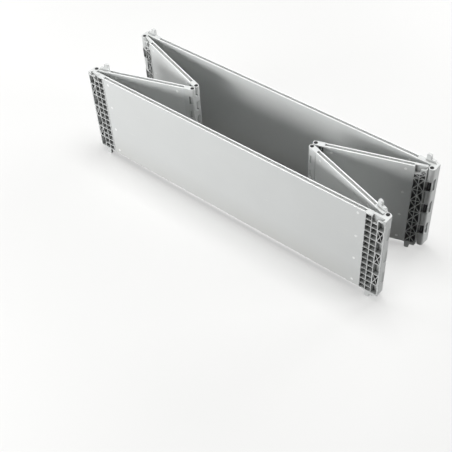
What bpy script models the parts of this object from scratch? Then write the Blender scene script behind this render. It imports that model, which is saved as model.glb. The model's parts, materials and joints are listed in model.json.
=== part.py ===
"""Folding plastic pallet collar: two long walls and two short sides that fold inward.

Each short side is two half walls joined by a double hinge, so the whole collar folds flat.
Metres, +Z up. The origin is on the floor, under the middle of the half folded collar.
"""
import math

import bmesh
import bpy

MM = 0.001

# Whole collar, opened to a rectangle, and how far it is folded in this model
collar_length = 1200 * MM
collar_width = 800 * MM
wall_height = 330 * MM
rest_fold_deg = 18.0

# Twin wall sheet
wall_thick = 18.8 * MM
sheet_thick = 17.2 * MM
sheet_skin = 3.8 * MM
sheet_web = 2.0 * MM
flute_pitch = 40 * MM
edge_recess = 4 * MM

# Clearances
fold_gap = 1.4 * MM
seat_gap = 0.3 * MM
level_gap = 0.8 * MM
swing_gap = 1.2 * MM
tab_play = 0.8 * MM

# Corner hinge: long wall and half wall knuckles alternate over the height
corner_levels = 7
end_set = 3.2 * MM
barrel_reach = 11 * MM
barrel_chamfer = 3.4 * MM
pin_radius = 5.0 * MM
pin_gap = 0.4 * MM
pin_proud = 1.2 * MM
pin_sunk = 2.0 * MM
pin_chamfer = 0.8 * MM
bore_sides = 10
barrel_steps = 4

# Middle hinge: knuckles of the half walls and links that join the two pins
middle_slots = 11
link_waist = 4 * MM

# Fittings riveted to the ends of the sheets
end_fitting_length = 70 * MM
corner_fitting_length = 52 * MM
middle_fitting_length = 30 * MM
insert_length = 30 * MM
insert_margin = 6 * MM
inner_skin = 3 * MM
rim = 4 * MM
rib = 2.6 * MM
brace = 2.2 * MM
end_columns = (18.5 * MM, 18.5 * MM)
cells_per_level = 2
middle_cell_rows = 5
window_plate = 4 * MM
window_end = 7.6 * MM
window_floor = -1.5 * MM

# Stacking tabs and the notches that receive them
tab_width = 17 * MM
tab_height = 25 * MM
tab_thick = 8.6 * MM
tab_bevel = 3 * MM
tab_draft = 1 * MM
tab_flare = 2 * MM
tab_root = 2 * MM
ledge_length = 20 * MM
ledge_height = 9 * MM
ledge_slope = 6 * MM
long_tab_from_end = 37 * MM

# Worked out from the dimensions above
half_thick = wall_thick / 2
half_sheet = sheet_thick / 2
half_insert = half_sheet - sheet_skin - seat_gap
pin_inset = half_thick + end_set
pin_to_inner_face = half_thick + fold_gap
pin_to_outer_face = pin_to_inner_face + wall_thick
link_length = wall_thick + fold_gap
half_span = (collar_width - 2 * pin_to_outer_face - link_length) / 2
pin_x = collar_length / 2 - pin_inset
rest_fold = math.radians(rest_fold_deg)
middle_pin_x = pin_x - half_span * math.cos(rest_fold)
bore_radius = pin_radius + pin_gap
level_height = wall_height / corner_levels
slot_height = wall_height / middle_slots
knuckle_clear = half_thick + swing_gap
relief_reach = math.hypot(barrel_reach, half_thick - barrel_chamfer) + swing_gap
end_reach = end_fitting_length - pin_inset
long_tab_from_pin = long_tab_from_end - pin_inset
half_tab_from_pin = knuckle_clear + ledge_length + tab_width / 2
notch_depth = tab_height + tab_play
recess_depth = ledge_height + tab_play
SAFE = 5 * MM
AXIS_MARK = 50 * MM

# Finishes: base colour and roughness
GREY_SHEET = ((0.70, 0.71, 0.70, 1.0), 0.4)
GREY_FITTING = ((0.62, 0.63, 0.62, 1.0), 0.45)
BLACK_PIN = ((0.012, 0.012, 0.013, 1.0), 0.35)


def clear_scene():
    for old in list(bpy.data.objects):
        bpy.data.objects.remove(old, do_unlink=True)


def new_collection(name):
    group = bpy.data.collections.new(name)
    bpy.context.scene.collection.children.link(group)
    return group


def plastic(name, finish):
    colour, roughness = finish
    material = bpy.data.materials.new(name)
    material.use_nodes = True
    shader = material.node_tree.nodes["Principled BSDF"]
    shader.inputs["Base Color"].default_value = colour
    shader.inputs["Roughness"].default_value = roughness
    shader.inputs["Metallic"].default_value = 0.0
    return material


def weld(mesh):
    """Join a filled curve's loose caps to its sides and face everything outward."""
    work = bmesh.new()
    work.from_mesh(mesh)
    bmesh.ops.remove_doubles(work, verts=work.verts, dist=1e-6)
    bmesh.ops.dissolve_limit(work, angle_limit=math.radians(0.5), verts=work.verts, edges=work.edges)
    bmesh.ops.recalc_face_normals(work, faces=work.faces)
    work.to_mesh(mesh)
    work.free()


def prism(name, outlines, depths, upright):
    """Mesh of flat outlines, separate rings or holes, between two depths along Z, or along Y if upright."""
    curve = bpy.data.curves.new(name, "CURVE")
    curve.dimensions = "2D"
    curve.fill_mode = "BOTH"
    curve.extrude = abs(depths[1] - depths[0]) / 2
    for outline in outlines:
        spline = curve.splines.new("POLY")
        spline.points.add(len(outline) - 1)
        for point, (x, y) in zip(spline.points, outline):
            point.co = (x, y, 0, 1)
        spline.use_cyclic_u = True
    holder = bpy.data.objects.new(name, curve)
    bpy.context.scene.collection.objects.link(holder)
    depsgraph = bpy.context.evaluated_depsgraph_get()
    mesh = bpy.data.meshes.new_from_object(holder.evaluated_get(depsgraph))
    bpy.data.objects.remove(holder, do_unlink=True)
    low, high = min(depths), max(depths)
    for vertex in mesh.vertices:
        x, y, z = vertex.co
        if upright:
            vertex.co = (x, low if z > 0 else high, y)
        else:
            vertex.co = (x, y, high if z > 0 else low)
    weld(mesh)
    return mesh


def join_meshes(name, meshes):
    """One mesh of several separate solids."""
    work = bmesh.new()
    for mesh in meshes:
        work.from_mesh(mesh)
        bpy.data.meshes.remove(mesh)
    joined = bpy.data.meshes.new(name)
    work.to_mesh(joined)
    work.free()
    return joined


class Corner:
    """Frame of one wall end: u runs from the corner pin along the wall, v away from the pin."""

    def __init__(self, along, across):
        self.along = along
        self.across = across

    def box(self, name, u, v, z):
        """Block between pairs of u, v and z."""
        work = bmesh.new()
        bmesh.ops.create_cube(work, size=1)
        size = (u[1] - u[0], v[1] - v[0], z[1] - z[0])
        middle = (self.along * (u[0] + u[1]) / 2, self.across * (v[0] + v[1]) / 2, (z[0] + z[1]) / 2)
        for vertex in work.verts:
            vertex.co = [m + c * s for m, c, s in zip(middle, vertex.co, size)]
        mesh = bpy.data.meshes.new(name)
        work.to_mesh(mesh)
        work.free()
        return mesh

    def plan(self, name, outlines, z):
        """Prism of outlines seen from above, between two heights."""
        placed = [[(self.along * u, self.across * v) for u, v in ring] for ring in outlines]
        return prism(name, placed, z, False)

    def elevation(self, name, outlines, v):
        """Prism of outlines seen square to the wall, between two depths."""
        placed = [[(self.along * u, z) for u, z in ring] for ring in outlines]
        return prism(name, placed, [self.across * depth for depth in v], True)


def arc(centre, radii, start_deg, end_deg, steps):
    """Points along an arc, or a quarter of an ellipse, about a centre."""
    points = []
    for step in range(steps + 1):
        turn = math.radians(start_deg + (end_deg - start_deg) * step / steps)
        points.append((centre[0] + radii[0] * math.cos(turn), centre[1] + radii[1] * math.sin(turn)))
    return points


def circle(centre, radius, sides):
    ring = arc(centre, (radius, radius), 0, 360, sides)
    return ring[:-1]


def rectangle(low, high):
    return [(low[0], low[1]), (high[0], low[1]), (high[0], high[1]), (low[0], high[1])]


def pull_in(corners, width):
    """A polygon, given anticlockwise, with each side moved inward by half a rib's width."""
    count = len(corners)
    lines = []
    for index in range(count):
        (ax, ay), (bx, by) = corners[index], corners[(index + 1) % count]
        length = math.hypot(bx - ax, by - ay)
        nx, ny = -(by - ay) / length, (bx - ax) / length
        lines.append((ax + nx * width / 2, ay + ny * width / 2, bx - ax, by - ay))
    inner = []
    for index in range(count):
        px, py, dx, dy = lines[index - 1]
        qx, qy, ex, ey = lines[index]
        reach = ((qx - px) * ey - (qy - py) * ex) / (dx * ey - dy * ex)
        inner.append((px + reach * dx, py + reach * dy))
    return inner


def cross_braced(low, high, with_rib):
    """Pockets left in a panel by two crossed braces and, if asked, an upright rib."""
    middle = ((low[0] + high[0]) / 2, (low[1] + high[1]) / 2)
    bottom_left, bottom_right, top_right, top_left = rectangle(low, high)
    below, above = (middle[0], low[1]), (middle[0], high[1])
    triangles = [(bottom_left, middle, top_left), (bottom_right, top_right, middle)]
    if with_rib:
        triangles += [(bottom_left, below, middle), (below, bottom_right, middle)]
        triangles += [(top_left, middle, above), (above, middle, top_right)]
    else:
        triangles += [(bottom_left, bottom_right, middle), (top_left, middle, top_right)]
    return [pull_in(triangle, brace) for triangle in triangles]


def tab_outline(centre, grow, root):
    """Side view of a stacking tab and the ledge on its pin side: u along the wall, s out from its edge."""
    half = tab_width / 2 + grow
    tip = half - tab_draft
    reach = tab_height + grow
    ledge_end = centre - half - ledge_length
    return [
        (centre + half + tab_flare, -root),
        (centre + half + tab_flare, 0),
        (centre + half, tab_flare),
        (centre + tip, reach - tab_bevel),
        (centre + tip - tab_bevel, reach),
        (centre - tip + tab_bevel, reach),
        (centre - tip, reach - tab_bevel),
        (centre - half, ledge_height + grow),
        (ledge_end + ledge_slope, ledge_height + grow),
        (ledge_end, 0),
        (ledge_end, -root),
    ]


def tab_rings(centre, tab_up):
    """Outline of the tab on one edge and of the notch in the other, in u and z."""
    tab = tab_outline(centre, 0, tab_root)
    notch = tab_outline(centre, tab_play, SAFE)
    if tab_up:
        return [(u, wall_height + s) for u, s in tab], notch
    return [(u, -s) for u, s in tab], [(u, wall_height - s) for u, s in notch]


def clear_of_cut(low, high, depth, tab_up):
    """Part of a pocket's height that leaves a full rib beside a cut in the notched edge."""
    if tab_up:
        return max(low, depth + rib), high
    return low, min(high, wall_height - depth - rib)


def start_part(name, mesh):
    """Object of a sub-part, drawn about its corner pin until it is seated."""
    part = bpy.data.objects.new(name, mesh)
    collar.objects.link(part)
    return part


def shape_with(part, operation, mesh):
    """Add or cut a helper shape with a Boolean."""
    helper = bpy.data.objects.new(part.name + "_" + operation.lower(), mesh)
    helpers.objects.link(helper)
    helper.hide_render = True
    helper.display_type = "WIRE"
    modifier = part.modifiers.new(operation.title(), "BOOLEAN")
    modifier.operation = operation
    modifier.object = helper


def seat_part(part, parent, offset, material):
    """Apply the Booleans where the part was drawn, then hang it in its body."""
    bpy.context.view_layer.update()
    depsgraph = bpy.context.evaluated_depsgraph_get()
    shaped = bpy.data.meshes.new_from_object(part.evaluated_get(depsgraph))
    used = [modifier.object for modifier in part.modifiers if modifier.type == "BOOLEAN"]
    part.modifiers.clear()
    part.data = shaped
    for helper in used:
        bpy.data.objects.remove(helper, do_unlink=True)
    shaped.materials.clear()
    shaped.materials.append(material)
    part.parent = parent
    part.location = offset


def hinge_bore(corner, name, u):
    """Cutter of a pin's bore over the whole height."""
    return corner.plan(name, [circle((u, 0), bore_radius, bore_sides)], (-SAFE, wall_height + SAFE))


def knuckle_height(index, count, height):
    """Height range of one knuckle in a stack, full at the wall's own edges."""
    low = index * height + (level_gap / 2 if index > 0 else 0)
    high = (index + 1) * height - (level_gap / 2 if index < count - 1 else 0)
    return low, high


def end_cells(tab_up):
    """Open cells on the outer face of a long wall's end fitting, in u and z, deep ones and shallow ones."""
    first, second = end_columns
    sheet_side = end_reach - rim
    column_one = (sheet_side - first, sheet_side)
    column_two = (column_one[0] - rib - second, column_one[0] - rib)
    column_three = (-pin_inset + rim, column_two[0] - rib)
    rows = corner_levels * cells_per_level
    pitch = wall_height / rows
    deep, shallow = [], []
    for row in range(rows):
        low = max(row * pitch + rib / 2, rim)
        high = min((row + 1) * pitch - rib / 2, wall_height - rim)
        deep.append(rectangle((column_one[0], low), (column_one[1], high)))
        low, high = clear_of_cut(low, high, notch_depth, tab_up)
        if high - low > rim:
            deep.append(rectangle((column_two[0], low), (column_two[1], high)))
    for level in range(corner_levels):
        low, high = clear_of_cut(level * level_height + rib / 2, (level + 1) * level_height - rib / 2,
                                 recess_depth, tab_up)
        panel = (column_three[0], max(low, rim)), (column_three[1], min(high, wall_height - rim))
        if level % 2 == 0:
            deep.append(rectangle(*panel))
        else:
            shallow += cross_braced(*panel, False)
    return deep, shallow


def end_fitting(name, parent, offset, corner, tab_up):
    """Moulding on one end of a long wall, with four knuckles and a stacking tab."""
    outer, inner = -pin_to_outer_face, -pin_to_inner_face
    plate = corner.box(name, (-pin_inset, end_reach), (outer, inner), (0, wall_height))
    part = start_part(name, plate)

    knuckle = [(-pin_inset, inner - rim), (half_thick, inner - rim)]
    knuckle += arc((0, 0), (half_thick, half_thick), 0, 90, barrel_steps)
    knuckle += arc((0, 0), (pin_inset, half_thick), 90, 180, barrel_steps)[1:]
    added = []
    for level in range(0, corner_levels, 2):
        added.append(corner.plan(name, [knuckle], knuckle_height(level, corner_levels, level_height)))
    middle = (outer + inner) / 2
    added.append(corner.box(name, (end_reach - rim, end_reach + insert_length),
                            (middle - half_insert, middle + half_insert),
                            (insert_margin, wall_height - insert_margin)))
    tab, notch = tab_rings(long_tab_from_pin, tab_up)
    added.append(corner.elevation(name, [tab], (outer, outer + tab_thick)))
    shape_with(part, "UNION", join_meshes(name, added))

    # The half wall's knuckles turn in reliefs, so the cells in front of those are shallower.
    relief_face = -relief_reach
    past_end = (-pin_inset - SAFE, relief_reach)
    reliefs = []
    for level in range(1, corner_levels, 2):
        between = (level * level_height - level_gap / 2, (level + 1) * level_height + level_gap / 2)
        reliefs.append(corner.box(name, past_end, (relief_face, inner + SAFE), between))
    shape_with(part, "DIFFERENCE", join_meshes(name, reliefs))
    deep, shallow = end_cells(tab_up)
    shape_with(part, "DIFFERENCE", corner.elevation(name, deep, (outer - SAFE, inner - inner_skin)))
    shape_with(part, "DIFFERENCE", corner.elevation(name, shallow, (outer - SAFE, relief_face - inner_skin)))
    slot = corner.elevation(name, [notch], (outer - SAFE, outer + tab_thick + tab_play))
    shape_with(part, "DIFFERENCE", slot)
    shape_with(part, "DIFFERENCE", hinge_bore(corner, name, 0))
    seat_part(part, parent, offset, plastic(name, GREY_FITTING))


def truss_pockets(tab_up):
    """Pockets of the braced face of a half wall's corner fitting, in u and z."""
    low_u, high_u = knuckle_clear + rim - brace / 2, corner_fitting_length - rim + brace / 2
    notch_side = half_tab_from_pin - tab_width / 2 - tab_play - rib
    rings = []
    for level in range(corner_levels):
        low = max(level * level_height, rim - brace / 2)
        high = min((level + 1) * level_height, wall_height - rim + brace / 2)
        clear_low, clear_high = clear_of_cut(low, high, notch_depth, tab_up)
        rings += cross_braced((low_u, clear_low), (high_u, clear_high), True)
        beside_low, beside_high = clear_of_cut(low, high, recess_depth, tab_up)
        if clear_high < beside_high:
            rings += cross_braced((low_u, clear_high), (notch_side, beside_high), False)
        if clear_low > beside_low:
            rings += cross_braced((low_u, beside_low), (notch_side, clear_low), False)
    return rings


def barrel(body):
    """Plan of a half wall's middle knuckle: round about its pin, flat back to the fitting's body."""
    round_end = arc((half_span, 0), (half_thick, half_thick), -90, 90, 2 * barrel_steps)
    return round_end + [(body, half_thick), (body, -half_thick)]


def blunt_barrel(body):
    """Plan of a half wall's corner knuckle: a blunt, chamfered end round the pin."""
    shoulder = barrel_chamfer - barrel_reach
    flat = half_thick - barrel_chamfer
    return [(body, half_thick), (shoulder, half_thick), (-barrel_reach, flat),
            (-barrel_reach, -flat), (shoulder, -half_thick), (body, -half_thick)]


def corner_fitting(name, parent, offset, corner, tab_up):
    """Moulding on the corner end of a half wall: braced body and three open knuckles."""
    body = (knuckle_clear, corner_fitting_length)
    plate = corner.box(name, body, (-half_thick, half_thick), (0, wall_height))
    part = start_part(name, plate)

    outline = blunt_barrel(knuckle_clear + rim)
    window_side = knuckle_clear + rim - rib
    added, windows = [], []
    for level in range(1, corner_levels, 2):
        low, high = knuckle_height(level, corner_levels, level_height)
        added.append(corner.plan(name, [outline], (low, high)))
        windows.append(rectangle((-window_end, low + window_plate), (window_side, high - window_plate)))
    added.append(corner.box(name, (body[1] - rim, body[1] + insert_length), (-half_insert, half_insert),
                            (insert_margin, wall_height - insert_margin)))
    tab, notch = tab_rings(half_tab_from_pin, tab_up)
    added.append(corner.elevation(name, [tab], (half_thick - tab_thick, half_thick)))
    shape_with(part, "UNION", join_meshes(name, added))

    pockets = corner.elevation(name, truss_pockets(tab_up), (inner_skin - half_thick, half_thick + SAFE))
    shape_with(part, "DIFFERENCE", pockets)
    slot = corner.elevation(name, [notch], (half_thick - tab_thick - tab_play, half_thick + SAFE))
    shape_with(part, "DIFFERENCE", slot)
    shape_with(part, "DIFFERENCE", corner.elevation(name, windows, (window_floor, half_thick + SAFE)))
    shape_with(part, "DIFFERENCE", hinge_bore(corner, name, 0))
    seat_part(part, parent, offset, plastic(name, GREY_FITTING))


def middle_fitting(name, parent, offset, corner):
    """Moulding on the middle end of a half wall: two rows of cells and six knuckles."""
    body = (half_span - middle_fitting_length, half_span - knuckle_clear)
    plate = corner.box(name, body, (-half_thick, half_thick), (0, wall_height))
    part = start_part(name, plate)

    outline = barrel(body[1] - rim)
    added = []
    for slot in range(0, middle_slots, 2):
        added.append(corner.plan(name, [outline], knuckle_height(slot, middle_slots, slot_height)))
    added.append(corner.box(name, (body[0] - insert_length, body[0] + rim), (-half_insert, half_insert),
                            (insert_margin, wall_height - insert_margin)))
    shape_with(part, "UNION", join_meshes(name, added))

    width = (body[1] - body[0] - 3 * rib) / 2
    rings = []
    for column in range(2):
        left = body[0] + rib + column * (width + rib)
        for row in range(middle_cell_rows):
            low = max(row * wall_height / middle_cell_rows + rib / 2, rim)
            high = min((row + 1) * wall_height / middle_cell_rows - rib / 2, wall_height - rim)
            rings.append(rectangle((left, low), (left + width, high)))
    cells = corner.elevation(name, rings, (inner_skin - half_thick, half_thick + SAFE))
    shape_with(part, "DIFFERENCE", cells)
    shape_with(part, "DIFFERENCE", hinge_bore(corner, name, half_span))
    seat_part(part, parent, offset, plastic(name, GREY_FITTING))


def sheet(name, parent, offset, corner, u, middle_v):
    """Twin wall sheet: two skins, upright webs, recessed edges and open ends for the fittings."""
    skin_faces = (middle_v - half_sheet, middle_v + half_sheet)
    hollow = (skin_faces[0] + sheet_skin, skin_faces[1] - sheet_skin)
    block = corner.box(name, u, skin_faces, (0, wall_height))
    part = start_part(name, block)

    first, last = u[0] + insert_length + seat_gap, u[1] - insert_length - seat_gap
    count = max(1, round((last - first - sheet_web) / flute_pitch))
    pitch = (last - first - sheet_web) / count
    through = (-SAFE, wall_height + SAFE)
    flutes = []
    for index in range(count):
        left = first + sheet_web + index * pitch
        flutes.append(corner.box(name, (left, left + pitch - sheet_web), hollow, through))
    flutes.append(corner.box(name, (u[0] - SAFE, first), hollow, through))
    flutes.append(corner.box(name, (last, u[1] + SAFE), hollow, through))
    shape_with(part, "DIFFERENCE", join_meshes(name, flutes))

    grooves = []
    for edge in ((-SAFE, edge_recess), (wall_height - edge_recess, wall_height + SAFE)):
        grooves.append(corner.box(name, (first - SAFE, last + SAFE), hollow, edge))
    shape_with(part, "DIFFERENCE", join_meshes(name, grooves))
    seat_part(part, parent, offset, plastic(name, GREY_SHEET))


def hinge_pin(name, parent, offset):
    """Black pin turned about its axis, proud of the top edge and sunk in the bottom one."""
    top = wall_height + pin_proud
    profile = [
        (0, top),
        (pin_radius - pin_chamfer, top),
        (pin_radius, top - pin_chamfer),
        (pin_radius, pin_sunk + pin_chamfer),
        (pin_radius - pin_chamfer, pin_sunk),
        (0, pin_sunk),
    ]
    mesh = bpy.data.meshes.new(name)
    points = [(radius, 0, z) for radius, z in profile]
    mesh.from_pydata(points, [(index, index + 1) for index in range(len(points) - 1)], [])
    part = start_part(name, mesh)
    turn = part.modifiers.new("Turn", "SCREW")
    turn.axis = "Z"
    turn.steps = bore_sides
    turn.render_steps = bore_sides
    turn.use_merge_vertices = True
    turn.merge_threshold = 0.00001
    seat_part(part, parent, offset, plastic(name, BLACK_PIN))


def link(name, parent, slot):
    """Short link between the two middle pins, waisted above and below its web."""
    low, high = knuckle_height(slot, middle_slots, slot_height)
    frame = Corner(1, 1)
    outline = arc((0, 0), (half_thick, half_thick), 90, 270, barrel_steps)
    outline += arc((link_length, 0), (half_thick, half_thick), -90, 90, barrel_steps)
    bores = [circle((0, 0), bore_radius, bore_sides), circle((link_length, 0), bore_radius, bore_sides)]
    body = frame.plan(name, [outline] + bores, (low, high))
    part = start_part(name, body)

    waist = (half_thick - link_waist, link_length - half_thick + link_waist)
    cuts = [rectangle((waist[0], low - SAFE), (waist[1], low + link_waist)),
            rectangle((waist[0], high - link_waist), (waist[1], high + SAFE))]
    shape_with(part, "DIFFERENCE", frame.elevation(name, cuts, (-half_thick - SAFE, half_thick + SAFE)))
    seat_part(part, parent, (0, 0, 0), plastic(name, GREY_FITTING))


def hinge_frame(name, parent, offset, turn):
    """Empty on a hinge's axis that carries one moving body."""
    frame = bpy.data.objects.new(name, None)
    collar.objects.link(frame)
    frame.empty_display_size = AXIS_MARK
    frame.parent = parent
    frame.location = offset
    frame.rotation_euler = (0, 0, turn)
    return frame


def long_wall(name, parent, across, tab_up):
    """Sheet, two end fittings and two corner pins of the front or the back wall, from its left pin."""
    left_pin, right_pin = (0, 0, 0), (2 * pin_x, 0, 0)
    left, right = Corner(1, across), Corner(-1, across)
    start = end_reach + seat_gap
    reach = (start, 2 * pin_x - start)
    sheet(name + "_sheet", parent, left_pin, left, reach, -(pin_to_inner_face + half_thick))
    for hand, corner, pin in (("left", left, left_pin), ("right", right, right_pin)):
        end_fitting(f"{name}_{hand}_end_fitting", parent, pin, corner, tab_up)
        hinge_pin(f"{name}_{hand}_corner_pin", parent, pin)


def half_wall(name, parent, corner, from_corner_pin, tab_up):
    """Sheet and two fittings of half a short side, drawn from its corner pin."""
    offset = (0, 0, 0) if from_corner_pin else (-corner.along * half_span, 0, 0)
    start = corner_fitting_length + seat_gap
    end = half_span - middle_fitting_length - seat_gap
    sheet(name + "_sheet", parent, offset, corner, (start, end), 0)
    corner_fitting(name + "_corner_fitting", parent, offset, corner, tab_up)
    middle_fitting(name + "_middle_fitting", parent, offset, corner)


def link_set(name, parent):
    """Two middle pins and the links between them."""
    for end, distance in (("front", 0), ("back", link_length)):
        hinge_pin(f"{name}_{end}_middle_pin", parent, (distance, 0, 0))
    for number, slot in enumerate(range(1, middle_slots, 2), start=1):
        link(f"{name}_link_{number}", parent, slot)


def build_collar():
    """The left links stand still. The left half walls turn on them and carry the long walls."""
    quarter = math.pi / 2
    left_links = hinge_frame("left_links", None, (-middle_pin_x, -link_length / 2, tab_height), quarter)
    link_set("left", left_links)
    left_front = hinge_frame("left_front_half", left_links, (0, 0, 0), rest_fold - quarter)
    half_wall("left_front", left_front, Corner(1, 1), False, True)
    left_back = hinge_frame("left_back_half", left_links, (link_length, 0, 0), -quarter - rest_fold)
    half_wall("left_back", left_back, Corner(1, -1), False, False)

    front = hinge_frame("front_wall", left_front, (-half_span, 0, 0), -rest_fold)
    long_wall("front", front, 1, False)
    back = hinge_frame("back_wall", left_back, (-half_span, 0, 0), rest_fold)
    long_wall("back", back, -1, True)

    right_front = hinge_frame("right_front_half", front, (2 * pin_x, 0, 0), -rest_fold)
    half_wall("right_front", right_front, Corner(-1, 1), True, True)
    right_links = hinge_frame("right_links", right_front, (-half_span, 0, 0), quarter + rest_fold)
    link_set("right", right_links)
    right_back = hinge_frame("right_back_half", right_links, (link_length, 0, 0), rest_fold - quarter)
    half_wall("right_back", right_back, Corner(-1, -1), False, False)


clear_scene()
collar = new_collection("plastic_pallet_collar")
helpers = new_collection("cutters")
build_collar()
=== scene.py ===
"""Looks of a folding plastic pallet collar, laid out as a Blender add-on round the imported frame.

Everything is in metres in the frame's own axes: X along the long walls, Z up, the floor at Z = 0.
"""
import json
import math

import bpy
from bpy.props import FloatProperty, FloatVectorProperty, IntProperty, PointerProperty
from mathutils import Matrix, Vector

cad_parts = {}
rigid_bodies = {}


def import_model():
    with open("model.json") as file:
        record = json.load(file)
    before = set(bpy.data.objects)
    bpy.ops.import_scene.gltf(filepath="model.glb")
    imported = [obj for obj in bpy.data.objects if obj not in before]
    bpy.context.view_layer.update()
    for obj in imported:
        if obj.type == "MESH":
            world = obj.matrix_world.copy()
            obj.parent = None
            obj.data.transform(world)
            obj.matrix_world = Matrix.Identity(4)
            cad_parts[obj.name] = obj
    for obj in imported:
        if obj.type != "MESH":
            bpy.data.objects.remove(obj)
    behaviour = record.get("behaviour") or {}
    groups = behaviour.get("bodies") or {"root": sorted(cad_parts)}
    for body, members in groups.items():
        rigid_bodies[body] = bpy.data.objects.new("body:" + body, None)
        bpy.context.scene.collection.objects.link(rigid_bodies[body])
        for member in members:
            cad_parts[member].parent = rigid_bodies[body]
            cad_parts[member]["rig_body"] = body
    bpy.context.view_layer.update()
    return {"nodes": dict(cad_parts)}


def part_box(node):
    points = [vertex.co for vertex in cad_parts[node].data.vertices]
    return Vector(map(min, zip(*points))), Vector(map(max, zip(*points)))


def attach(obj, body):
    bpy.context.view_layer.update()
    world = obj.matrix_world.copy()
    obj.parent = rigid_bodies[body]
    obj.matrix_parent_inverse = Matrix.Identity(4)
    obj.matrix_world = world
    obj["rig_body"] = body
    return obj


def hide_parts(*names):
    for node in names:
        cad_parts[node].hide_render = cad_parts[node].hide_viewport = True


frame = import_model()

bl_info = {
    "name": "Folding Pallet Collar",
    "version": (1, 0, 0),
    "blender": (4, 5, 0),
    "location": "View3D > Sidebar > Pallet Collar",
    "description": "Finishes, rivets, edge seals, pins and studio for a plastic pallet collar",
    "category": "Object",
}

MM = 0.001
HALVES = ("left_front", "left_back", "right_front", "right_back")
POLYPROPYLENE_IOR = 1.49
POLYAMIDE_IOR = 1.53

# The photograph's camera: place, turn in degrees, focal length and sensor width in millimetres.
CAMERA_PLACE = (1.3774, -1.6745, 2.1220)
CAMERA_TURN = (43.480, 2.659, 39.453)
FOCAL_LENGTH, SENSOR_WIDTH = 68.64, 36
# Each softbox: name of its level, place, width and height.
SOFT_BOXES = (
    ("key", (-1.1, -3.2, 0.95), (3.0, 1.5)),
    ("top", (0, 0.3, 3.2), (1.6, 1.2)),
    ("left", (-3.3, 0, 1.1), (1.5, 1.5)),
    ("back", (0.6, 3.2, 1.3), (2.0, 1.5)),
    ("right", (3.2, 1.5, 1.1), (1.5, 1.5)),
)
COLLAR_MIDDLE = (0, 0, 0.19)


def linear(hex_code):
    """Linear colour of an sRGB hex value."""
    channels = [int(hex_code[start:start + 2], 16) / 255 for start in (1, 3, 5)]
    return (*[c / 12.92 if c <= 0.04045 else ((c + 0.055) / 1.055) ** 2.4 for c in channels], 1.0)


def scaled(colour, share):
    """The same colour, lighter or darker by a share."""
    return (*[min(1.0, channel * share) for channel in colour[:3]], 1.0)


def add(tree, kind, inputs=None, **settings):
    """A new node with its settings. An input takes a value, or a socket to link from."""
    node = tree.nodes.new(kind)
    for key, value in settings.items():
        setattr(node, key, value)
    for key, value in (inputs or {}).items():
        if isinstance(value, bpy.types.NodeSocket):
            tree.links.new(value, node.inputs[key])
        else:
            node.inputs[key].default_value = value
    return node


class SheetLook(bpy.types.PropertyGroup):
    colour: FloatVectorProperty(
        name="Colour", description="Colour of the extruded wall sheets",
        subtype="COLOR", size=4, min=0, max=1, default=linear("#D3D5D4"))
    web_pitch: FloatProperty(
        name="Web Pitch", description="Distance between the upright webs inside a sheet",
        unit="LENGTH", default=8 * MM)
    web_print: FloatProperty(
        name="Web Print", description="How far the skin dips between two webs",
        unit="LENGTH", default=0.05 * MM)
    die_line: FloatProperty(
        name="Die Line", description="Width of the fine upright lines that the die leaves",
        unit="LENGTH", default=3 * MM)
    grain: FloatProperty(
        name="Grain", description="Size of the fine surface grain",
        unit="LENGTH", default=1.2 * MM)
    edge_round: FloatProperty(
        name="Edge Rounding", description="Radius to which handling wears the sawn edges",
        unit="LENGTH", default=0.5 * MM)


class FittingLook(bpy.types.PropertyGroup):
    colour: FloatVectorProperty(
        name="Colour", description="Colour of the moulded fittings and links",
        subtype="COLOR", size=4, min=0, max=1, default=linear("#CDCFCE"))
    edge_round: FloatProperty(
        name="Edge Rounding", description="Radius that the mould leaves on each edge",
        unit="LENGTH", default=0.8 * MM)
    grain: FloatProperty(
        name="Grain", description="Size of the eroded grain of the mould",
        unit="LENGTH", default=1.0 * MM)
    # Painted shade: the two settings below darken the colour deep in the cells, where ribs stand
    # near.
    painted_cell_shade: FloatProperty(
        name="Painted Cell Shade", description="How much dirt lies deep in the cells", min=0, max=1, default=0.85)
    cell_shade_reach: FloatProperty(
        name="Cell Shade Reach", description="How near a rib shelters the dirt",
        unit="LENGTH", default=16 * MM)


class PinLook(bpy.types.PropertyGroup):
    colour: FloatVectorProperty(
        name="Colour", description="Colour of the hinge pins",
        subtype="COLOR", size=4, min=0, max=1, default=linear("#101011"))
    chamfer: FloatProperty(
        name="Chamfer", description="Chamfer at each end of a pin",
        unit="LENGTH", default=0.9 * MM)
    head_diameter: FloatProperty(
        name="Head Diameter", description="Width of the flat head that lies on the top edge",
        unit="LENGTH", default=13 * MM)
    head_rise: FloatProperty(
        name="Head Rise", description="Height of that head over the top edge",
        unit="LENGTH", default=0.3 * MM)
    dimple_diameter: FloatProperty(
        name="Centre Dimple", description="Width of the lathe centre in each end",
        unit="LENGTH", default=3 * MM)
    sides: IntProperty(
        name="Sides", description="Flats round a pin", min=12, default=36)


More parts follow.
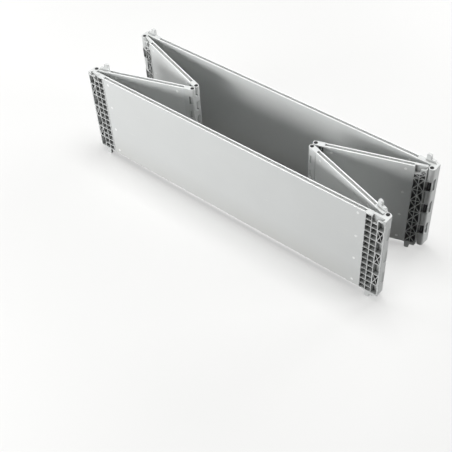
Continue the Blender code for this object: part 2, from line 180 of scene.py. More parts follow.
class RivetSizes(bpy.types.PropertyGroup):
    colour: FloatVectorProperty(
        name="Colour", description="Colour of the push rivets",
        subtype="COLOR", size=4, min=0, max=1, default=linear("#F6F7F6"))
    flange_diameter: FloatProperty(
        name="Flange Diameter", description="Width of the thin flange under a head",
        unit="LENGTH", default=9.5 * MM)
    flange_rise: FloatProperty(
        name="Flange Rise", description="Height of that flange over the sheet",
        unit="LENGTH", default=0.25 * MM)
    head_diameter: FloatProperty(
        name="Head Diameter", description="Width of the head at its foot",
        unit="LENGTH", default=7.5 * MM)
    shoulder: FloatProperty(
        name="Shoulder", description="Width and height of the slope round the head",
        unit="LENGTH", default=0.6 * MM)
    drive_diameter: FloatProperty(
        name="Drive Pin Diameter", description="Width of the pin that is driven into the head",
        unit="LENGTH", default=2.6 * MM)
    head_rise: FloatProperty(
        name="Head Rise", description="Height of a head, less than the sheet stands back",
        unit="LENGTH", default=0.75 * MM)
    from_fitting: FloatProperty(
        name="From Fitting", description="Distance from a fitting to its row of rivets",
        unit="LENGTH", default=23 * MM)
    from_edge: FloatProperty(
        name="From Edge", description="Distance from the lower or upper edge to the nearest rivet",
        unit="LENGTH", default=18 * MM)
    in_row: IntProperty(
        name="In a Row", description="Rivets one above the other", min=2, default=4)


class EdgeSizes(bpy.types.PropertyGroup):
    depth: FloatProperty(
        name="Depth", description="Depth of the groove between the skins, down to the seal",
        unit="LENGTH", default=3.4 * MM)
    thickness: FloatProperty(
        name="Thickness", description="Thickness of the seal",
        unit="LENGTH", default=2.0 * MM)
    width: FloatProperty(
        name="Width", description="Width of the seal, which runs into both skins",
        unit="LENGTH", default=10 * MM)
    end_gap: FloatProperty(
        name="End Gap", description="Open length of groove beside each fitting",
        unit="LENGTH", default=6 * MM)
    ridge_width: FloatProperty(
        name="Ridge Width", description="Width of the ridge over each web",
        unit="LENGTH", default=1.4 * MM)
    ridge_rise: FloatProperty(
        name="Ridge Rise", description="Height of the ridge over each web",
        unit="LENGTH", default=0.3 * MM)


class StudioLevels(bpy.types.PropertyGroup):
    key: FloatProperty(
        name="Key", description="Softbox low in front of the collar", unit="POWER", default=126)
    top: FloatProperty(
        name="Top", description="Softbox over the collar", unit="POWER", default=76)
    left: FloatProperty(
        name="Left", description="Softbox at the left hand side", unit="POWER", default=55)
    right: FloatProperty(
        name="Right", description="Softbox at the right hand side", unit="POWER", default=60)
    back: FloatProperty(
        name="Back", description="Softbox behind the collar", unit="POWER", default=60)
    room: FloatProperty(
        name="Room", description="Level of the light from all round", min=0, default=0.04)
    floor: FloatVectorProperty(
        name="Floor", description="Colour of the floor as the camera sees it",
        subtype="COLOR", size=4, min=0, max=1, default=linear("#EBEBEA"))
    bounce: FloatVectorProperty(
        name="Bounce", description="Colour of the floor as the collar sees it",
        subtype="COLOR", size=4, min=0, max=1, default=linear("#2C2C2B"))


class Wall:
    """One straight wall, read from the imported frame: u along it, v out through its outer face."""

    def __init__(self, body, sheet, start, along, outward):
        self.body, self.sheet, self.start = body, sheet, Vector((*start, 0))
        self.along, self.outward = Vector((*along, 0)), Vector((*outward, 0))
        places = [vertex.co - self.start for vertex in frame["nodes"][sheet].data.vertices]
        self.u = self.span([place.dot(self.along) for place in places])
        self.v = self.span([place.dot(self.outward) for place in places])
        self.z = self.span([place.z for place in places])

    @staticmethod
    def span(values):
        return min(values), max(values)

    def point(self, u, v, z):
        """Place in the frame of a point that is given on the wall."""
        return self.start + self.along * u + self.outward * v + Vector((0, 0, z))


def pin_centre(node):
    """Where a pin stands, seen from above."""
    low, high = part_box(node)
    return ((low + high) / 2).xy


def find_walls():
    """The two long walls and the four half walls, each from its corner pin."""
    walls = []
    for side, outward in (("front", -1), ("back", 1)):
        start = pin_centre(f"{side}_left_corner_pin")
        walls.append(Wall(f"{side}_wall", f"{side}_sheet", start, (1, 0), (0, outward)))
    for half in HALVES:
        hand, side = half.split("_")
        other = "back" if side == "front" else "front"
        start = pin_centre(f"{side}_{hand}_corner_pin")
        end = pin_centre(f"{hand}_{side}_middle_pin")
        along = (end - start).normalized()
        facing = pin_centre(f"{hand}_{other}_middle_pin") - end
        outward = (facing - along * facing.dot(along)).normalized()
        walls.append(Wall(f"{half}_half", f"{half}_sheet", start, along, outward))
    return walls


def new_material(name):
    """A material with its tree and its shader."""
    material = bpy.data.materials.new(name)
    material.use_nodes = True
    tree = material.node_tree
    return material, tree, tree.nodes["Principled BSDF"]


def worn_edge(tree, radius):
    """Normal that rounds the edges, a mask of their wear, and the blotches that break it up.

    The further the rounded normal leans away from the flat one, the more an edge is worn.
    """
    blotch_size, untouched, worn_through = 22 * MM, 0.99, 0.80
    rounded = add(tree, "ShaderNodeBevel", {"Radius": radius}, samples=6).outputs["Normal"]
    flat = add(tree, "ShaderNodeNewGeometry").outputs["True Normal"]
    apart = add(tree, "ShaderNodeVectorMath", {0: rounded, 1: flat},
                operation="DOT_PRODUCT").outputs["Value"]
    edge = add(tree, "ShaderNodeMapRange", {
        "Value": apart, "From Min": untouched, "From Max": worn_through}).outputs["Result"]
    place = add(tree, "ShaderNodeTexCoord").outputs["Object"]
    blotches = add(tree, "ShaderNodeTexNoise", {
        "Vector": place, "Scale": 1 / blotch_size, "Detail": 4.0, "Roughness": 0.65}).outputs["Fac"]
    worn = add(tree, "ShaderNodeMath", {0: edge, 1: blotches}, operation="MULTIPLY").outputs[0]
    return rounded, worn, blotches


def extruded_sheet(look, turn):
    """Extruded polypropylene sheet, satin from the polished calibrator.

    The webs behind the skin show as very soft upright stripes, the die leaves finer lines over
    them, and handling leaves a few pale rubs and a little dust towards the foot. Where the sheet
    is sawn the plastic has whitened, and its corners are worn pale. The real grain is about a
    fifth of a millimetre, and is drawn as coarse as it needs to show.
    """
    cloud_size, rub_size = 140 * MM, 45 * MM
    foot, dust_top = 25 * MM, 120 * MM
    lines_share, grain_share, sawn_matt = 0.5, 0.35, 0.25
    line_stretch, rub_squeeze = (1, 1, 0.012), (1, 1, 7)
    material, tree, shader = new_material(f"extruded_polypropylene_{round(math.degrees(turn))}")
    coordinates = add(tree, "ShaderNodeTexCoord").outputs
    place = coordinates["Object"]
    turned = add(tree, "ShaderNodeMapping", {
        "Vector": place, "Rotation": (0, 0, -turn)}).outputs["Vector"]

    # A wave texture repeats every tau / 20 units of its own scale.
    webs = add(tree, "ShaderNodeTexWave", {
        "Vector": turned, "Scale": math.tau / (20 * look.web_pitch), "Distortion": 0.0},
        bands_direction="X").outputs["Fac"]
    drawn_out = add(tree, "ShaderNodeMapping", {
        "Vector": turned, "Scale": line_stretch}).outputs["Vector"]
    lines = add(tree, "ShaderNodeTexNoise", {
        "Vector": drawn_out, "Scale": 1 / look.die_line, "Detail": 2.0}).outputs["Fac"]
    grain = add(tree, "ShaderNodeTexNoise", {
        "Vector": place, "Scale": 1 / look.grain, "Detail": 1.0}).outputs["Fac"]
    relief = add(tree, "ShaderNodeMath", {0: lines, 1: lines_share, 2: webs},
                 operation="MULTIPLY_ADD").outputs[0]
    relief = add(tree, "ShaderNodeMath", {0: grain, 1: grain_share, 2: relief},
                 operation="MULTIPLY_ADD").outputs[0]
    rounded, edge, _ = worn_edge(tree, look.edge_round)
    bump = add(tree, "ShaderNodeBump", {
        "Height": relief, "Distance": look.web_print, "Strength": 1.0, "Normal": rounded})
    tree.links.new(bump.outputs["Normal"], shader.inputs["Normal"])

    clouds = add(tree, "ShaderNodeTexNoise", {
        "Vector": place, "Scale": 1 / cloud_size, "Detail": 3.0}).outputs["Fac"]
    rubbed = add(tree, "ShaderNodeMapping", {
        "Vector": turned, "Scale": rub_squeeze}).outputs["Vector"]
    rubs = add(tree, "ShaderNodeTexNoise", {
        "Vector": rubbed, "Scale": 1 / rub_size, "Detail": 6.0, "Roughness": 0.7}).outputs["Fac"]
    rub = add(tree, "ShaderNodeMapRange", {
        "Value": rubs, "From Min": 0.60, "From Max": 0.72, "To Max": 0.30}).outputs["Result"]
    height = add(tree, "ShaderNodeSeparateXYZ", {"Vector": place}).outputs["Z"]
    low = add(tree, "ShaderNodeMapRange", {
        "Value": height, "From Min": foot, "From Max": dust_top, "To Min": 0.5, "To Max": 0.0})
    dust = add(tree, "ShaderNodeMath", {0: low.outputs["Result"], 1: clouds},
               operation="MULTIPLY").outputs[0]

    shade = add(tree, "ShaderNodeMix", {
        "Factor": clouds, "A": scaled(look.colour, 0.965), "B": scaled(look.colour, 1.03)},
        data_type="RGBA").outputs["Result"]
    pale = add(tree, "ShaderNodeMix", {"Factor": rub, "A": shade, "B": linear("#E4E5E3")},
               data_type="RGBA").outputs["Result"]
    dusty = add(tree, "ShaderNodeMix", {"Factor": dust, "A": pale, "B": linear("#B5B3AC")},
                data_type="RGBA").outputs["Result"]
    # Sawn faces look up or down.
    upward = add(tree, "ShaderNodeSeparateXYZ", {"Vector": coordinates["Normal"]}).outputs["Z"]
    sawn = add(tree, "ShaderNodeMath", {0: upward}, operation="ABSOLUTE").outputs[0]
    white = add(tree, "ShaderNodeMath", {0: sawn, 1: edge}, operation="MAXIMUM").outputs[0]
    whitened = add(tree, "ShaderNodeMix", {"Factor": white, "A": dusty, "B": linear("#E8E9E8")},
                   data_type="RGBA").outputs["Result"]
    tree.links.new(whitened, shader.inputs["Base Color"])
    gloss = add(tree, "ShaderNodeMapRange", {
        "Value": rubs, "From Min": 0.3, "From Max": 0.75,
        "To Min": 0.34, "To Max": 0.50}).outputs["Result"]
    matt = add(tree, "ShaderNodeMath", {0: sawn, 1: sawn_matt, 2: gloss},
               operation="MULTIPLY_ADD").outputs[0]
    tree.links.new(matt, shader.inputs["Roughness"])
    shader.inputs["Specular IOR Level"].default_value = 0.35
    shader.inputs["IOR"].default_value = POLYPROPYLENE_IOR
    return material


def moulded_plastic(look):
    """Injection moulded polypropylene, a little duller than the sheet.

    The eroded mould gives it an even fine grain, and its edges are slightly round and worn pale.
    Deep in the cells its colour is darkened to grey by painted shade, where the ribs stand near.
    The real grain is about a quarter of a millimetre, and is drawn as coarse as it needs to show.
    """
    grain_depth = 0.05 * MM
    material, tree, shader = new_material("moulded_polypropylene")
    place = add(tree, "ShaderNodeTexCoord").outputs["Object"]
    rounded, worn, blotches = worn_edge(tree, look.edge_round)
    # Painted shade: ambient occlusion darkens the colour deep in the cells, where the ribs stand
    # near.
    open_share = add(tree, "ShaderNodeAmbientOcclusion", {"Distance": look.cell_shade_reach},
                     samples=8, only_local=True).outputs["AO"]
    deep = add(tree, "ShaderNodeMapRange", {
        "Value": open_share, "From Min": 0.80, "From Max": 0.30,
        "To Max": look.painted_cell_shade}).outputs["Result"]
    grain = add(tree, "ShaderNodeTexNoise", {
        "Vector": place, "Scale": 1 / look.grain, "Detail": 2.0}).outputs["Fac"]
    bump = add(tree, "ShaderNodeBump", {
        "Height": grain, "Distance": grain_depth, "Strength": 1.0, "Normal": rounded})
    tree.links.new(bump.outputs["Normal"], shader.inputs["Normal"])

    shade = add(tree, "ShaderNodeMix", {
        "Factor": blotches, "A": scaled(look.colour, 0.93), "B": scaled(look.colour, 1.05)},
        data_type="RGBA").outputs["Result"]
    pale = add(tree, "ShaderNodeMix", {"Factor": worn, "A": shade, "B": linear("#EDEEED")},
               data_type="RGBA").outputs["Result"]
    # The painted shade deep in the cells is mixed in here.
    shaded_in_cells = add(tree, "ShaderNodeMix", {"Factor": deep, "A": pale, "B": linear("#4A4A48")},
                data_type="RGBA").outputs["Result"]
    tree.links.new(shaded_in_cells, shader.inputs["Base Color"])
    gloss = add(tree, "ShaderNodeMapRange", {
        "Value": blotches, "From Min": 0.3, "From Max": 0.7, "To Min": 0.42, "To Max": 0.56})
    tree.links.new(gloss.outputs["Result"], shader.inputs["Roughness"])
    shader.inputs["IOR"].default_value = POLYPROPYLENE_IOR
    return material


def pin_plastic(look):
    """Black polyamide rod, drawn and then cropped: satin, with grey scuffs and worn rims."""
    line_width, line_depth, speck_size = 0.8 * MM, 0.04 * MM, 2 * MM
    line_stretch, rim_wear = (1, 1, 0.03), 0.4
    material, tree, shader = new_material("black_polyamide_rod")
    place = add(tree, "ShaderNodeTexCoord").outputs["Object"]
    drawn_out = add(tree, "ShaderNodeMapping", {
        "Vector": place, "Scale": line_stretch}).outputs["Vector"]
    lines = add(tree, "ShaderNodeTexNoise", {
        "Vector": drawn_out, "Scale": 1 / line_width, "Detail": 2.0}).outputs["Fac"]
    bump = add(tree, "ShaderNodeBump", {"Height": lines, "Distance": line_depth, "Strength": 1.0})
    tree.links.new(bump.outputs["Normal"], shader.inputs["Normal"])
    specks = add(tree, "ShaderNodeTexNoise", {
        "Vector": place, "Scale": 1 / speck_size, "Detail": 5.0}).outputs["Fac"]
    scuff = add(tree, "ShaderNodeMapRange", {
        "Value": specks, "From Min": 0.58, "From Max": 0.75, "To Max": 0.12}).outputs["Result"]
    _, edge, _ = worn_edge(tree, look.chamfer / 3)
    scuff = add(tree, "ShaderNodeMath", {0: edge, 1: rim_wear, 2: scuff},
                operation="MULTIPLY_ADD").outputs[0]
    dull = add(tree, "ShaderNodeMix", {
        "Factor": scuff, "A": tuple(look.colour), "B": linear("#5C5C5B")},
        data_type="RGBA").outputs["Result"]
    tree.links.new(dull, shader.inputs["Base Color"])
    gloss = add(tree, "ShaderNodeMapRange", {
        "Value": specks, "From Min": 0.3, "From Max": 0.75, "To Min": 0.40, "To Max": 0.60})
    tree.links.new(gloss.outputs["Result"], shader.inputs["Roughness"])
    shader.inputs["IOR"].default_value = POLYAMIDE_IOR
    shader.inputs["Specular IOR Level"].default_value = 0.25
    return material


def rivet_plastic(look):
    """Unpigmented moulded polypropylene of the push rivets: whiter and glossier than the sheet."""
    mark_size = 3 * MM
    material, tree, shader = new_material("natural_polypropylene_rivet")
    place = add(tree, "ShaderNodeTexCoord").outputs["Object"]
    marks = add(tree, "ShaderNodeTexNoise", {
        "Vector": place, "Scale": 1 / mark_size, "Detail": 3.0}).outputs["Fac"]
    shade = add(tree, "ShaderNodeMix", {
        "Factor": marks, "A": scaled(look.colour, 0.94), "B": scaled(look.colour, 1.04)},
        data_type="RGBA").outputs["Result"]
    tree.links.new(shade, shader.inputs["Base Color"])
    gloss = add(tree, "ShaderNodeMapRange", {
        "Value": marks, "From Min": 0.3, "From Max": 0.7, "To Min": 0.14, "To Max": 0.26})
    tree.links.new(gloss.outputs["Result"], shader.inputs["Roughness"])
    shader.inputs["IOR"].default_value = POLYPROPYLENE_IOR
    return material


def sealed_edge(look):
    """Edge of the same polypropylene, pressed shut with a hot tool.

    It is matt and uneven along its run. Its colour is darkened to a mid grey: painted shade
    that stands in for the shade in the flute openings between the webs.
    """
    ripple_size, ripple_depth = 4 * MM, 0.3 * MM
    material, tree, shader = new_material("hot_pressed_polypropylene_edge")
    place = add(tree, "ShaderNodeTexCoord").outputs["Object"]
    ripple = add(tree, "ShaderNodeTexNoise", {
        "Vector": place, "Scale": 1 / ripple_size, "Detail": 3.0}).outputs["Fac"]
    bump = add(tree, "ShaderNodeBump", {
        "Height": ripple, "Distance": ripple_depth, "Strength": 1.0})
    tree.links.new(bump.outputs["Normal"], shader.inputs["Normal"])
    # Painted shade: the seal's colour is about half the sheet's, for the shade in the flute
    # openings.
    shade = add(tree, "ShaderNodeMix", {
        "Factor": ripple, "A": scaled(look.colour, 0.46), "B": scaled(look.colour, 0.60)},
        data_type="RGBA").outputs["Result"]
    tree.links.new(shade, shader.inputs["Base Color"])
    shader.inputs["Roughness"].default_value = 0.62
    shader.inputs["IOR"].default_value = POLYPROPYLENE_IOR
    return material


def finish_nodes(names, material):
    """Give CAD nodes a material in place of their plain one."""
    for name in names:
        mesh = frame["nodes"][name].data
        if not mesh.materials:
            mesh.materials.append(material)
        for slot in frame["nodes"][name].material_slots:
            slot.material = material


def smooth_rounds(mesh):
    """Shade the facets of round forms as one curve, by their corner normals: no vertex moves.

    Facets that meet at less than the turn count as round. Large planes stay flat, and a facet
    beside one takes its normal, so that the curve runs into it.
    """
    turn, large = math.radians(28), 1500 * MM * MM
    one_place, one_plane = 0.01 * MM, 0.1 * MM
    places = [tuple(round(axis / one_place) for axis in vertex.co) for vertex in mesh.vertices]
    planes = [(*[round(axis, 2) for axis in face.normal],
               round(face.normal.dot(face.center) / one_plane)) for face in mesh.polygons]
    areas, meeting = {}, {}
    for face, plane in zip(mesh.polygons, planes):
        areas[plane] = areas.get(plane, 0) + face.area
        for vertex in face.vertices:
            meeting.setdefault(places[vertex], {})[plane] = face.normal.copy()
    normals = []
    for face, plane in zip(mesh.polygons, planes):
        for vertex in face.vertices:
            normal = face.normal.copy()
            if areas[plane] < large:
                near = {other: side for other, side in meeting[places[vertex]].items()
                        if side.angle(face.normal) < turn}
                flat = [side for other, side in near.items() if areas[other] >= large]
                normal = flat[0] if flat else sum(near.values(), Vector()).normalized()
            normals.append(normal)
    mesh.polygons.foreach_set("use_smooth", [True] * len(mesh.polygons))
    mesh.normals_split_custom_set(normals)


def carry(piece, body):
    """Let a finished piece ride on its body."""
    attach(piece, body)


def new_tree(name, inputs):
    """Geometry Nodes tree with a geometry in and out and named inputs in between."""
    tree = bpy.data.node_groups.new(name, "GeometryNodeTree")
    tree.interface.new_socket("Geometry", in_out="INPUT", socket_type="NodeSocketGeometry")
    tree.interface.new_socket("Geometry", in_out="OUTPUT", socket_type="NodeSocketGeometry")
    for title, kind in inputs.items():
        tree.interface.new_socket(title, in_out="INPUT", socket_type=kind)
    return tree, add(tree, "NodeGroupInput").outputs


def end_tree(tree, geometry, material):
    """Make the tree's instances real, give them their material and hand them out."""
    real = add(tree, "GeometryNodeRealizeInstances", {"Geometry": geometry})
    painted = add(tree, "GeometryNodeSetMaterial", {
        "Geometry": real.outputs[0], "Material": material})
    add(tree, "NodeGroupOutput", {"Geometry": painted.outputs[0]})


def grow(name, points, edges, tree, values):
    """Piece that a tree makes from a few points, or the edges between them, as a plain mesh.

    Each point comes with the direction that it faces.
    """
    seed = bpy.data.meshes.new(name)
    seed.from_pydata([place for place, facing in points], edges, [])
    seed.attributes.new("facing", "FLOAT_VECTOR", "POINT").data.foreach_set(
        "vector", [number for place, facing in points for number in facing])
    piece = bpy.data.objects.new(name, seed)
    bpy.context.scene.collection.objects.link(piece)
    modifier = piece.modifiers.new("Grow", "NODES")
    modifier.node_group = tree
    for socket in tree.interface.items_tree:
        if socket.name in values:
            modifier[socket.identifier] = values[socket.name]
    ready = piece.evaluated_get(bpy.context.evaluated_depsgraph_get())
    grown = bpy.data.meshes.new_from_object(ready)
    piece.modifiers.clear()
    piece.data = grown
    return piece


def rivet_tree():
    """A push rivet's flange, shoulder, dome and drive pin on each point, turned to its face."""
    sides, rings = 20, 12
    tree, given = new_tree("push_rivets", {
        "Flange Radius": "NodeSocketFloat", "Flange Rise": "NodeSocketFloat",
        "Head Radius": "NodeSocketFloat", "Head Rise": "NodeSocketFloat",
        "Shoulder": "NodeSocketFloat", "Drive Radius": "NodeSocketFloat",
        "Material": "NodeSocketMaterial"})

    # Flange, dome and drive pin are centred on the sheet's face, so half of each is inside it.
    depths = [add(tree, "ShaderNodeMath", {0: given[rise], 1: 2.0}, operation="MULTIPLY")
              for rise in ("Flange Rise", "Head Rise")]
    flange = add(tree, "GeometryNodeMeshCylinder", {
        "Vertices": sides, "Radius": given["Flange Radius"], "Depth": depths[0].outputs[0]},
        fill_type="NGON").outputs["Mesh"]
    crown = add(tree, "ShaderNodeMath", {0: given["Head Radius"], 1: given["Shoulder"]},
                operation="SUBTRACT").outputs[0]
    shoulder = add(tree, "GeometryNodeMeshCone", {
        "Vertices": sides, "Radius Top": crown, "Radius Bottom": given["Head Radius"],
        "Depth": given["Shoulder"]}, fill_type="NGON").outputs["Mesh"]
    ball = add(tree, "GeometryNodeMeshUVSphere", {
        "Segments": sides, "Rings": rings, "Radius": 1.0}).outputs["Mesh"]
    size = add(tree, "ShaderNodeCombineXYZ", {"X": crown, "Y": crown, "Z": given["Head Rise"]})
    dome = add(tree, "GeometryNodeTransform", {"Geometry": ball, "Scale": size.outputs[0]})
    dome = add(tree, "GeometryNodeSetShadeSmooth", {"Geometry": dome.outputs[0]}).outputs[0]
    drive = add(tree, "GeometryNodeMeshCylinder", {
        "Vertices": sides, "Radius": given["Drive Radius"], "Depth": depths[1].outputs[0]},
        fill_type="NGON").outputs["Mesh"]
    rivet = add(tree, "GeometryNodeJoinGeometry", {"Geometry": flange})
    for form in (shoulder, dome, drive):
        tree.links.new(form, rivet.inputs["Geometry"])
    facing = add(tree, "GeometryNodeInputNamedAttribute", {"Name": "facing"},
                 data_type="FLOAT_VECTOR").outputs["Attribute"]
    turn = add(tree, "FunctionNodeAlignRotationToVector", {"Vector": facing}, axis="Z")
    points = add(tree, "GeometryNodeMeshToPoints", {"Mesh": given["Geometry"]})
    rivets = add(tree, "GeometryNodeInstanceOnPoints", {
        "Points": points.outputs[0], "Instance": rivet.outputs[0], "Rotation": turn.outputs[0]})
    end_tree(tree, rivets.outputs[0], given["Material"])
    return tree


def edge_tree():
    """A seal swept along each edge of the seed, with a ridge across it over every web."""
    tree, given = new_tree("edge_seals", {
        "Width": "NodeSocketFloat", "Thickness": "NodeSocketFloat", "Pitch": "NodeSocketFloat",
        "Ridge Width": "NodeSocketFloat", "Ridge Rise": "NodeSocketFloat",
        "Material": "NodeSocketMaterial"})
    run = add(tree, "GeometryNodeMeshToCurve", {"Mesh": given["Geometry"]})
    upright = add(tree, "GeometryNodeSetCurveNormal", {"Curve": run.outputs[0]},
                  mode="Z_UP").outputs[0]
    section = add(tree, "GeometryNodeCurvePrimitiveQuadrilateral", {
        "Width": given["Width"], "Height": given["Thickness"]}, mode="RECTANGLE")
    seal = add(tree, "GeometryNodeCurveToMesh", {
        "Curve": upright, "Profile Curve": section.outputs[0], "Fill Caps": True})
    over_webs = add(tree, "GeometryNodeResampleCurve", {
        "Curve": upright, "Length": given["Pitch"]}, mode="LENGTH")
    # The ridge stands as far over the seal as under it.
    proud = add(tree, "ShaderNodeMath", {
        0: given["Ridge Rise"], 1: 2.0, 2: given["Thickness"]}, operation="MULTIPLY_ADD")
    size = add(tree, "ShaderNodeCombineXYZ", {
        "X": given["Ridge Width"], "Y": given["Width"], "Z": proud.outputs[0]})
    ridge = add(tree, "GeometryNodeMeshCube", {"Size": size.outputs[0]})
    tangent = add(tree, "GeometryNodeInputTangent")
    turn = add(tree, "FunctionNodeAlignRotationToVector", {"Vector": tangent.outputs[0]},
               axis="X", pivot_axis="Z")
    ridges = add(tree, "GeometryNodeInstanceOnPoints", {
        "Points": over_webs.outputs[0], "Instance": ridge.outputs["Mesh"],
        "Rotation": turn.outputs[0]})
    both = add(tree, "GeometryNodeJoinGeometry", {"Geometry": seal.outputs[0]})
    tree.links.new(ridges.outputs[0], both.inputs["Geometry"])
    end_tree(tree, both.outputs[0], given["Material"])
    return tree


def turned_rod(name, node, look, top_edge):
    """Smooth pin in a CAD pin's place: chamfered, with a lathe centre in each end.

    Its flat head lies a hair over the top edge, so that the two don't touch.
    """
    hair, same_place, sharp = 0.05 * MM, 0.01 * MM, math.radians(25)
    low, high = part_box(node)
    centre = (low + high) / 2
    radius, head = (high.x - low.x) / 2, look.head_diameter / 2
    dimple = look.dimple_diameter / 2
    rim, seat = top_edge + look.head_rise, top_edge + hair
    profile = [(dimple, high.z), (radius - look.chamfer, high.z), (radius, high.z - look.chamfer),
               (radius, rim), (head, rim), (head, seat), (radius, seat),
               (radius, low.z + look.chamfer), (radius - look.chamfer, low.z), (dimple, low.z)]
    # The upper chamfer can end on the head's rim, and one ring then serves both.
    profile = profile[:1] + [place for before, place in zip(profile, profile[1:])
                             if math.dist(before, place) > same_place]
    # A ring of points for each place on the profile, then the two tips of the lathe centres.
    turns = [math.tau * side / look.sides for side in range(look.sides)]
    places = [(centre.x + reach * math.cos(turn), centre.y + reach * math.sin(turn), z)
              for reach, z in profile for turn in turns]
    upper_tip, lower_tip = len(places), len(places) + 1
    places += [(centre.x, centre.y, high.z - dimple / 2), (centre.x, centre.y, low.z + dimple / 2)]
    last_ring = (len(profile) - 1) * look.sides
    faces = []
    for side in range(look.sides):
        beside = (side + 1) % look.sides
        faces.append((upper_tip, side, beside))
        for ring in range(0, last_ring, look.sides):
            below = ring + look.sides
            faces.append((ring + side, below + side, below + beside, ring + beside))
        faces.append((lower_tip, last_ring + beside, last_ring + side))
    mesh = bpy.data.meshes.new(name)
    mesh.from_pydata(places, [], faces)
    mesh.polygons.foreach_set("use_smooth", [True] * len(mesh.polygons))
    mesh.set_sharp_from_angle(angle=sharp)
    rod = bpy.data.objects.new(name, mesh)
    bpy.context.scene.collection.objects.link(rod)
    return rod


class COLLAR_OT_finish_sheets(bpy.types.Operator):
    """Give the wall sheets their extruded finish"""
    bl_idname = "collar.finish_sheets"
    bl_label = "Finish Sheets"

    def execute(self, context):
        look = context.scene.collar_sheet
        # Parallel walls share a material, whose webs stand across the wall.
        materials = {}
        for wall in find_walls():
            turn = math.remainder(math.atan2(wall.along.y, wall.along.x), math.pi)
            direction = round(math.degrees(turn))
            if direction not in materials:
                materials[direction] = extruded_sheet(look, turn)
            finish_nodes([wall.sheet], materials[direction])
        return {"FINISHED"}


class COLLAR_OT_finish_fittings(bpy.types.Operator):
    """Give the fittings and the hinge links their moulded finish"""
    bl_idname = "collar.finish_fittings"
    bl_label = "Finish Fittings"

    def execute(self, context):
        moulded = [name for name in frame["nodes"]
                   if name.endswith("_fitting") or "_link_" in name]
        finish_nodes(moulded, moulded_plastic(context.scene.collar_fitting))
        for name in moulded:
            smooth_rounds(frame["nodes"][name].data)
        return {"FINISHED"}


class COLLAR_OT_turn_pins(bpy.types.Operator):
    """Put a smooth turned pin in each hinge"""
    bl_idname = "collar.turn_pins"
    bl_label = "Turn Pins"

    def execute(self, context):
        look = context.scene.collar_pin
        material = pin_plastic(look)
        top_edge = find_walls()[0].z[1]
        for node in sorted(name for name in frame["nodes"] if name.endswith("_pin")):
            rod = turned_rod(node + "_rod", node, look, top_edge)
            rod.data.materials.append(material)
            carry(rod, frame["nodes"][node]["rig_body"])
            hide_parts(node)
        return {"FINISHED"}


class COLLAR_OT_set_rivets(bpy.types.Operator):
    """Rivet each sheet to the fittings at its ends"""
    bl_idname = "collar.set_rivets"
    bl_label = "Set Rivets"

    def execute(self, context):
        sizes = context.scene.collar_rivet
        tree, material = rivet_tree(), rivet_plastic(sizes)
        for wall in find_walls():
            rows = (wall.u[0] + sizes.from_fitting, wall.u[1] - sizes.from_fitting)
            low, high = wall.z[0] + sizes.from_edge, wall.z[1] - sizes.from_edge
            points = []
            for u in rows:
                for number in range(sizes.in_row):
                    z = low + (high - low) * number / (sizes.in_row - 1)
                    points.append((wall.point(u, wall.v[1], z), wall.outward))
                    points.append((wall.point(u, wall.v[0], z), -wall.outward))
            rivets = grow(wall.body + "_rivets", points, [], tree, {
                "Flange Radius": sizes.flange_diameter / 2, "Flange Rise": sizes.flange_rise,
                "Head Radius": sizes.head_diameter / 2, "Head Rise": sizes.head_rise,
                "Shoulder": sizes.shoulder, "Drive Radius": sizes.drive_diameter / 2,
                "Material": material})
            carry(rivets, wall.body)
        return {"FINISHED"}


class COLLAR_OT_seal_edges(bpy.types.Operator):
    """Close the flutes of each sheet in the grooves of its upper and lower edge"""
    bl_idname = "collar.seal_edges"
    bl_label = "Seal Edges"

    def execute(self, context):
        sizes = context.scene.collar_edge
        look = context.scene.collar_sheet
        tree, material = edge_tree(), sealed_edge(look)
        for wall in find_walls():
            middle = sum(wall.v) / 2
            depth = sizes.depth + sizes.thickness / 2
            points, edges = [], []
            for z in (wall.z[0] + depth, wall.z[1] - depth):
                edges.append((len(points), len(points) + 1))
                for u in (wall.u[0] + sizes.end_gap, wall.u[1] - sizes.end_gap):
                    points.append((wall.point(u, middle, z), wall.outward))
            seals = grow(wall.body + "_edge_seals", points, edges, tree, {
                "Width": sizes.width, "Thickness": sizes.thickness, "Pitch": look.web_pitch,
                "Ridge Width": sizes.ridge_width, "Ridge Rise": sizes.ridge_rise,
                "Material": material})
            carry(seals, wall.body)
        return {"FINISHED"}


def backdrop_rays(tree):
    """1 for the rays that show the backdrop: from the camera, in gloss and through glass."""
    path = add(tree, "ShaderNodeLightPath").outputs
    either = add(tree, "ShaderNodeMath", {0: path["Is Camera Ray"], 1: path["Is Glossy Ray"]},
                 operation="MAXIMUM")
    return add(tree, "ShaderNodeMath", {0: either.outputs[0], 1: path["Is Transmission Ray"]},
               operation="MAXIMUM").outputs[0]


def soft_box(name, place, aim, size, power):
    """Area light of a given width and height, turned to what it lights."""
    lamp = bpy.data.lights.new(name, "AREA")
    lamp.shape = "RECTANGLE"
    lamp.size, lamp.size_y = size
    lamp.energy = power
    box = bpy.data.objects.new(name, lamp)
    box.location = place
    box.rotation_euler = (Vector(aim) - Vector(place)).to_track_quat("-Z", "Y").to_euler()
    bpy.context.scene.collection.objects.link(box)


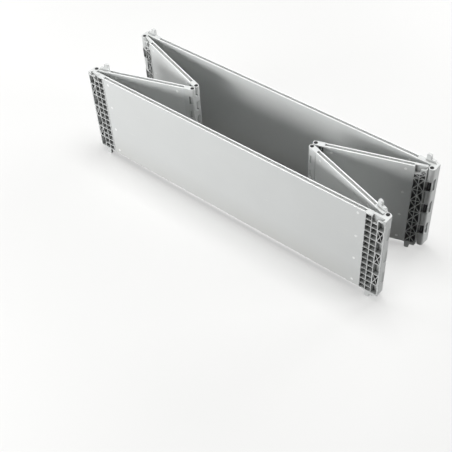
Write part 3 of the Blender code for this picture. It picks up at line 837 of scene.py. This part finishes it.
def studio_floor(levels):
    """Seamless paper: near white to the camera and dark where it throws light back.

    Away from the collar it goes over to the white of the room, so that no horizon shows.
    """
    near, far = 1.0, 4.0
    reach, below = 15.0, -0.2 * MM
    material, tree, shader = new_material("seamless_paper")
    tree.nodes.remove(shader)
    seen = add(tree, "ShaderNodeBsdfDiffuse", {"Color": tuple(levels.floor)})
    place = add(tree, "ShaderNodeTexCoord").outputs["Object"]
    away = add(tree, "ShaderNodeVectorMath", {0: place}, operation="LENGTH").outputs["Value"]
    fade = add(tree, "ShaderNodeMapRange", {
        "Value": away, "From Min": near, "From Max": far},
        interpolation_type="SMOOTHSTEP").outputs["Result"]
    white = add(tree, "ShaderNodeMix", {
        "Factor": fade, "A": tuple(levels.floor), "B": (1, 1, 1, 1)},
        data_type="RGBA").outputs["Result"]
    glow = add(tree, "ShaderNodeEmission", {"Color": white, "Strength": 1.0})
    share = add(tree, "ShaderNodeMapRange", {
        "Value": fade, "To Min": 0.5, "To Max": 1.0}).outputs["Result"]
    pale = add(tree, "ShaderNodeMixShader", {0: share, 1: seen.outputs[0], 2: glow.outputs[0]})
    thrown = add(tree, "ShaderNodeBsdfDiffuse", {"Color": tuple(levels.bounce)})
    both = add(tree, "ShaderNodeMixShader", {
        0: backdrop_rays(tree), 1: thrown.outputs[0], 2: pale.outputs[0]})
    tree.links.new(both.outputs[0], tree.nodes["Material Output"].inputs["Surface"])
    mesh = bpy.data.meshes.new("studio_floor")
    corners = [(x * reach, y * reach, below) for x, y in ((-1, -1), (1, -1), (1, 1), (-1, 1))]
    mesh.from_pydata(corners, [], [(0, 1, 2, 3)])
    mesh.materials.append(material)
    floor = bpy.data.objects.new("studio_floor", mesh)
    bpy.context.scene.collection.objects.link(floor)


def studio_room(levels):
    """Even light from all round, and a white room where the camera looks past the floor."""
    world = bpy.data.worlds.new("studio_room")
    world.use_nodes = True
    tree = world.node_tree
    even = tree.nodes["Background"]
    even.inputs["Color"].default_value = (1, 1, 1, 1)
    even.inputs["Strength"].default_value = levels.room
    white = add(tree, "ShaderNodeBackground", {"Color": (1, 1, 1, 1), "Strength": 1.0})
    both = add(tree, "ShaderNodeMixShader", {
        0: backdrop_rays(tree), 1: even.outputs[0], 2: white.outputs[0]})
    tree.links.new(both.outputs[0], tree.nodes["World Output"].inputs["Surface"])
    bpy.context.scene.world = world


class COLLAR_OT_build_studio(bpy.types.Operator):
    """Lay the floor, hang the lights and set the camera"""
    bl_idname = "collar.build_studio"
    bl_label = "Build Studio"

    def execute(self, context):
        levels = context.scene.collar_studio
        studio_floor(levels)
        studio_room(levels)
        for name, place, size in SOFT_BOXES:
            soft_box(name + "_softbox", place, COLLAR_MIDDLE, size, getattr(levels, name))
        lens = bpy.data.cameras.new("camera")
        lens.sensor_width = SENSOR_WIDTH
        lens.lens = FOCAL_LENGTH
        camera = bpy.data.objects.new("camera", lens)
        camera.location = CAMERA_PLACE
        camera.rotation_euler = [math.radians(angle) for angle in CAMERA_TURN]
        context.scene.collection.objects.link(camera)
        context.scene.camera = camera
        context.scene.view_settings.view_transform = "Standard"
        return {"FINISHED"}


class COLLAR_PT_panel(bpy.types.Panel):
    """Sizes and colours of the collar, and the steps that dress it"""
    bl_idname = "COLLAR_PT_panel"
    bl_label = "Pallet Collar"
    bl_space_type = "VIEW_3D"
    bl_region_type = "UI"
    bl_category = "Pallet Collar"

    def draw(self, context):
        for name, group, operator in STEPS:
            box = self.layout.box()
            for setting in group.__annotations__:
                box.prop(getattr(context.scene, name), setting)
            box.operator(operator.bl_idname)


# Each step: its name in the scene, its settings and its operator.
STEPS = (
    ("collar_sheet", SheetLook, COLLAR_OT_finish_sheets),
    ("collar_fitting", FittingLook, COLLAR_OT_finish_fittings),
    ("collar_pin", PinLook, COLLAR_OT_turn_pins),
    ("collar_rivet", RivetSizes, COLLAR_OT_set_rivets),
    ("collar_edge", EdgeSizes, COLLAR_OT_seal_edges),
    ("collar_studio", StudioLevels, COLLAR_OT_build_studio),
)
CLASSES = (*[group for _, group, _ in STEPS], *[operator for _, _, operator in STEPS],
           COLLAR_PT_panel)


def register():
    for each in CLASSES:
        bpy.utils.register_class(each)
    for name, group, _ in STEPS:
        setattr(bpy.types.Scene, name, PointerProperty(type=group))


def unregister():
    for name, _, _ in STEPS:
        delattr(bpy.types.Scene, name)
    for each in reversed(CLASSES):
        bpy.utils.unregister_class(each)


def main():
    """Dress the collar step by step."""
    register()
    bpy.ops.collar.finish_sheets()
    bpy.ops.collar.finish_fittings()
    bpy.ops.collar.turn_pins()
    bpy.ops.collar.set_rivets()
    bpy.ops.collar.seal_edges()
    bpy.ops.collar.build_studio()


if __name__ == "__main__":
    main()
